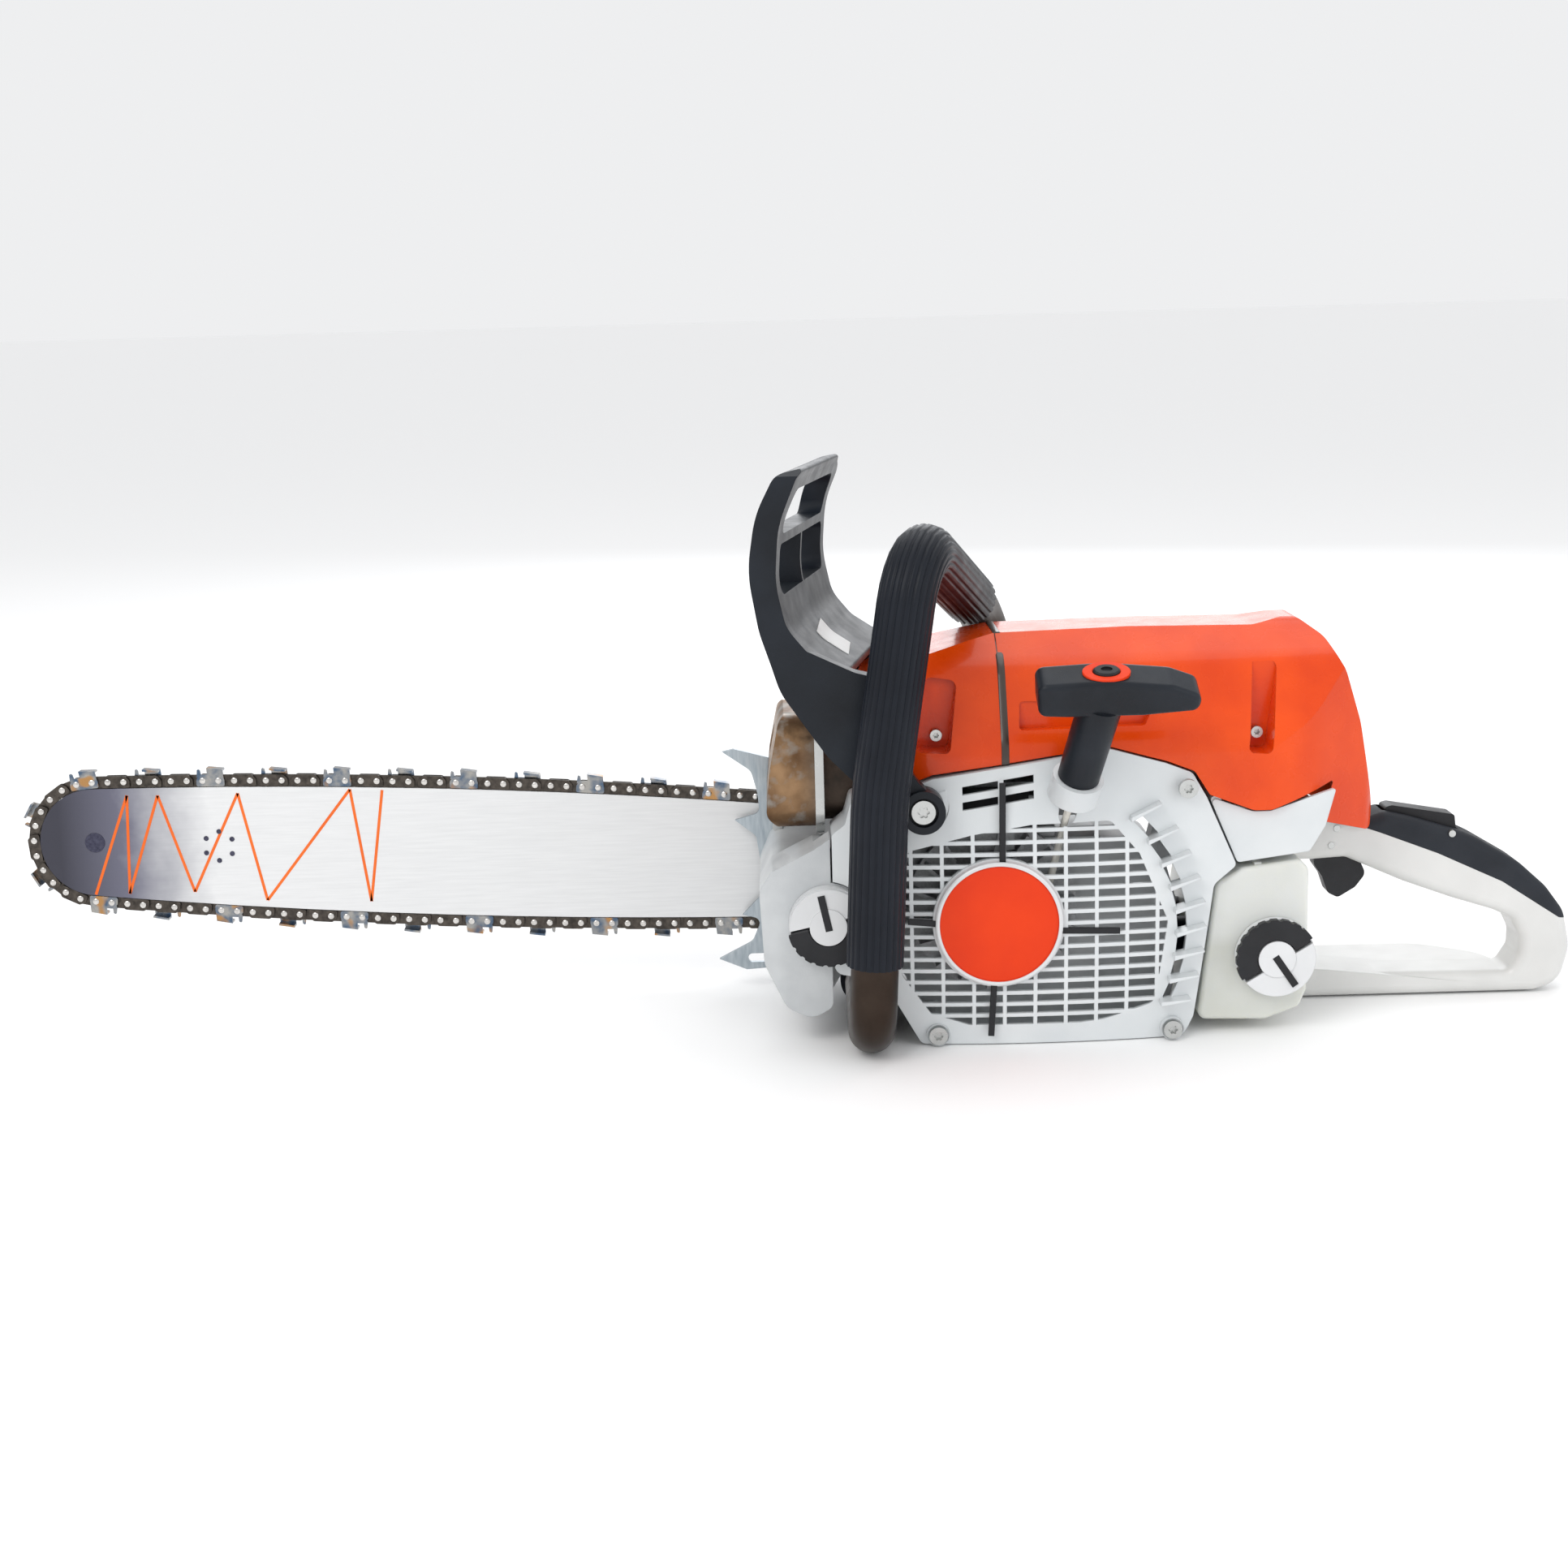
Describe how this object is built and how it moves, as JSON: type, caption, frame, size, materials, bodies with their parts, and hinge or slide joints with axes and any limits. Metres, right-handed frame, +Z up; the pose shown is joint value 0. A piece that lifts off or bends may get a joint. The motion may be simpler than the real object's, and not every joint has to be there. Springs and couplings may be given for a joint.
{
  "type": "chainsaw",
  "caption": "Petrol chainsaw with toothed saw chain on a long guide bar, hand guard, looped front handle, pull-cord starter and rear handle with trigger.",
  "frame": {"origin": "on the ground plane under the crankshaft axis, level with the mid plane of the cylinder", "axes": "+X from the bar nose towards the rear handle, +Y towards the cutting side, +Z up"},
  "size_m": [0.9186, 0.2131, 0.3233],
  "materials": {
    "housing_grey": "light warm grey moulded shell, low gloss",
    "cover_orange": "orange-red gloss moulding",
    "black_plastic": "fine-textured black moulding",
    "grip_soft": "soft dark overmoulding",
    "rubber_black": "ribbed black rubber",
    "tank_milky": "translucent milky plastic",
    "bar_steel": "satin ground steel",
    "chain_steel": "browned oiled steel",
    "rivet_steel": "bright domed rivets",
    "cutter_chrome": "hard chrome",
    "spike_steel": "blue-grey stamped steel",
    "zinc_steel": "zinc-plated steel",
    "engine_steel": "machined steel",
    "cast_alloy": "die-cast magnesium alloy, light grey",
    "cylinder_alloy": "cast aluminium",
    "hot_bronze": "heat-tinted sheet steel",
    "dark_sheet": "dark heat-stained sheet steel",
    "tube_metal": "brown-black coated tube",
    "cap_two_tone": "white and black moulded cap",
    "filter_fleece": "pale filter fleece",
    "badge_orange": "plain orange disc with a thin pale rim",
    "rope_cord": "braided cord",
    "spring_steel": "blued spring steel",
    "friction_lining": "sintered steel"
  },
  "bodies": {
    "engine_unit": {"air_filter": "filter_fleece", "airbox": "black_plastic", "badge": "badge_orange", "bar_nuts": "zinc_steel", "brake_band": "spring_steel", "buffer_mounts": "rubber_black", "carburettor": "cylinder_alloy", "chain_catcher": "black_plastic", "chain_cutters": "cutter_chrome", "chain_drive_links": "chain_steel", "chain_rivets": "rivet_steel", "chain_tensioner": "zinc_steel", "chain_tie_straps": "chain_steel", "clutch_drum": "engine_steel", "crankcase": "cast_alloy", "cylinder": "cylinder_alloy", "fan_housing": "housing_grey", "front_cover": "cover_orange", "front_handle": "tube_metal", "fuel_tank": "tank_milky", "grip_insert": "grip_soft", "guide_bar": "bar_steel", "handle_pins": "zinc_steel", "handle_sleeve": "rubber_black", "ignition_module": "black_plastic", "intake_boot": "rubber_black", "muffler_front": "hot_bronze", "muffler_rear": "dark_sheet", "muffler_seam": "zinc_steel", "nose_sprocket": "engine_steel", "oil_pump": "black_plastic", "rear_cover": "cover_orange", "rear_handle": "housing_grey", "rewind_spring": "spring_steel", "rim_sprocket": "engine_steel", "shaft_bearings": "engine_steel", "spark_plug": "rubber_black", "spike_plate": "spike_steel", "sprocket_cover": "cast_alloy", "star_screws": "zinc_steel", "starter_rope": "rope_cord"},
    "crank_unit": {"crankshaft": "engine_steel", "flywheel": "cylinder_alloy", "starter_pawls": "zinc_steel", "clutch": "friction_lining"},
    "piston_unit": {"piston": "cylinder_alloy", "piston_rings": "engine_steel", "connecting_rod": "engine_steel", "rod_pins": "engine_steel"},
    "hand_guard": {"hand_guard": "black_plastic"},
    "throttle_trigger": {"throttle_trigger": "black_plastic"},
    "lockout_lever": {"lockout_lever": "black_plastic"},
    "control_lever": {"control_lever": "black_plastic"},
    "starter_grip": {"starter_grip": "black_plastic"},
    "starter_rotor": {"starter_rotor": "black_plastic"},
    "throttle_shaft": {"throttle_shaft": "zinc_steel"},
    "fuel_cap": {"fuel_cap": "cap_two_tone"},
    "fuel_cap_bail": {"fuel_cap_bail": "black_plastic"},
    "oil_cap": {"oil_cap": "cap_two_tone"},
    "oil_cap_bail": {"oil_cap_bail": "black_plastic"}
  },
  "joints": [
    {"name": "crank_turn", "type": "hinge", "parent": "engine_unit", "child": "crank_unit", "pos_m": [0, 0, 0.0715], "axis": [0, 1, 0], "continuous": true},
    {"name": "piston_stroke", "type": "slide", "parent": "engine_unit", "child": "piston_unit", "axis": [0, 0, -1], "range_m": [0, 0.0354]},
    {"name": "guard_tilt", "type": "hinge", "parent": "engine_unit", "child": "hand_guard", "pos_m": [-0.0414, 0, 0.1377], "axis": [0, -1, 0], "range_deg": [0, 15]},
    {"name": "trigger_pull", "type": "hinge", "parent": "engine_unit", "child": "throttle_trigger", "pos_m": [0.2, 0, 0.093], "axis": [0, -1, 0], "range_deg": [0, 12], "stiffness_Nm_per_rad": 1.2, "springref_deg": -14.32},
    {"name": "lockout_press", "type": "hinge", "parent": "engine_unit", "child": "lockout_lever", "pos_m": [0.27, 0, 0.098], "axis": [0, -1, 0], "range_deg": [0, 8], "stiffness_Nm_per_rad": 1, "springref_deg": -8.59},
    {"name": "control_set", "type": "hinge", "parent": "engine_unit", "child": "control_lever", "pos_m": [0.203, 0, 0.103], "axis": [0, 1, 0], "range_deg": [0, 24]},
    {"name": "rope_pull", "type": "slide", "parent": "engine_unit", "child": "starter_grip", "axis": [0.17, -0.4701, 0.8661], "range_m": [0, 0.75], "stiffness_N_per_m": 12, "springref_m": -0.6},
    {"name": "rotor_turn", "type": "hinge", "parent": "engine_unit", "child": "starter_rotor", "pos_m": [0, 0, 0.0715], "axis": [0, 1, 0], "range_deg": [-1, 1660]},
    {"name": "throttle_turn", "type": "hinge", "parent": "engine_unit", "child": "throttle_shaft", "pos_m": [0.112, 0, 0.131], "axis": [0, -1, 0], "range_deg": [-1, 67]},
    {"name": "fuel_cap_turn", "type": "hinge", "parent": "engine_unit", "child": "fuel_cap", "pos_m": [0.155, -0.0797, 0.045], "axis": [0, -1, 0], "range_deg": [0, 90]},
    {"name": "fuel_bail_lift", "type": "hinge", "parent": "fuel_cap", "child": "fuel_cap_bail", "pos_m": [0.155, -0.0797, 0.045], "axis": [0.8572, 0, 0.515], "range_deg": [0, 90]},
    {"name": "oil_cap_turn", "type": "hinge", "parent": "engine_unit", "child": "oil_cap", "pos_m": [-0.094, -0.0817, 0.071], "axis": [0, -1, 0], "range_deg": [0, 90]},
    {"name": "oil_bail_lift", "type": "hinge", "parent": "oil_cap", "child": "oil_cap_bail", "pos_m": [-0.094, -0.0817, 0.071], "axis": [-0.9781, 0, -0.2079], "range_deg": [0, 90]}
  ],
  "couplings": [
    {"joint": "rotor_turn", "follows": "rope_pull", "rad_per_m": 38.462},
    {"joint": "throttle_turn", "follows": "trigger_pull", "ratio": 5.5}
  ]
}
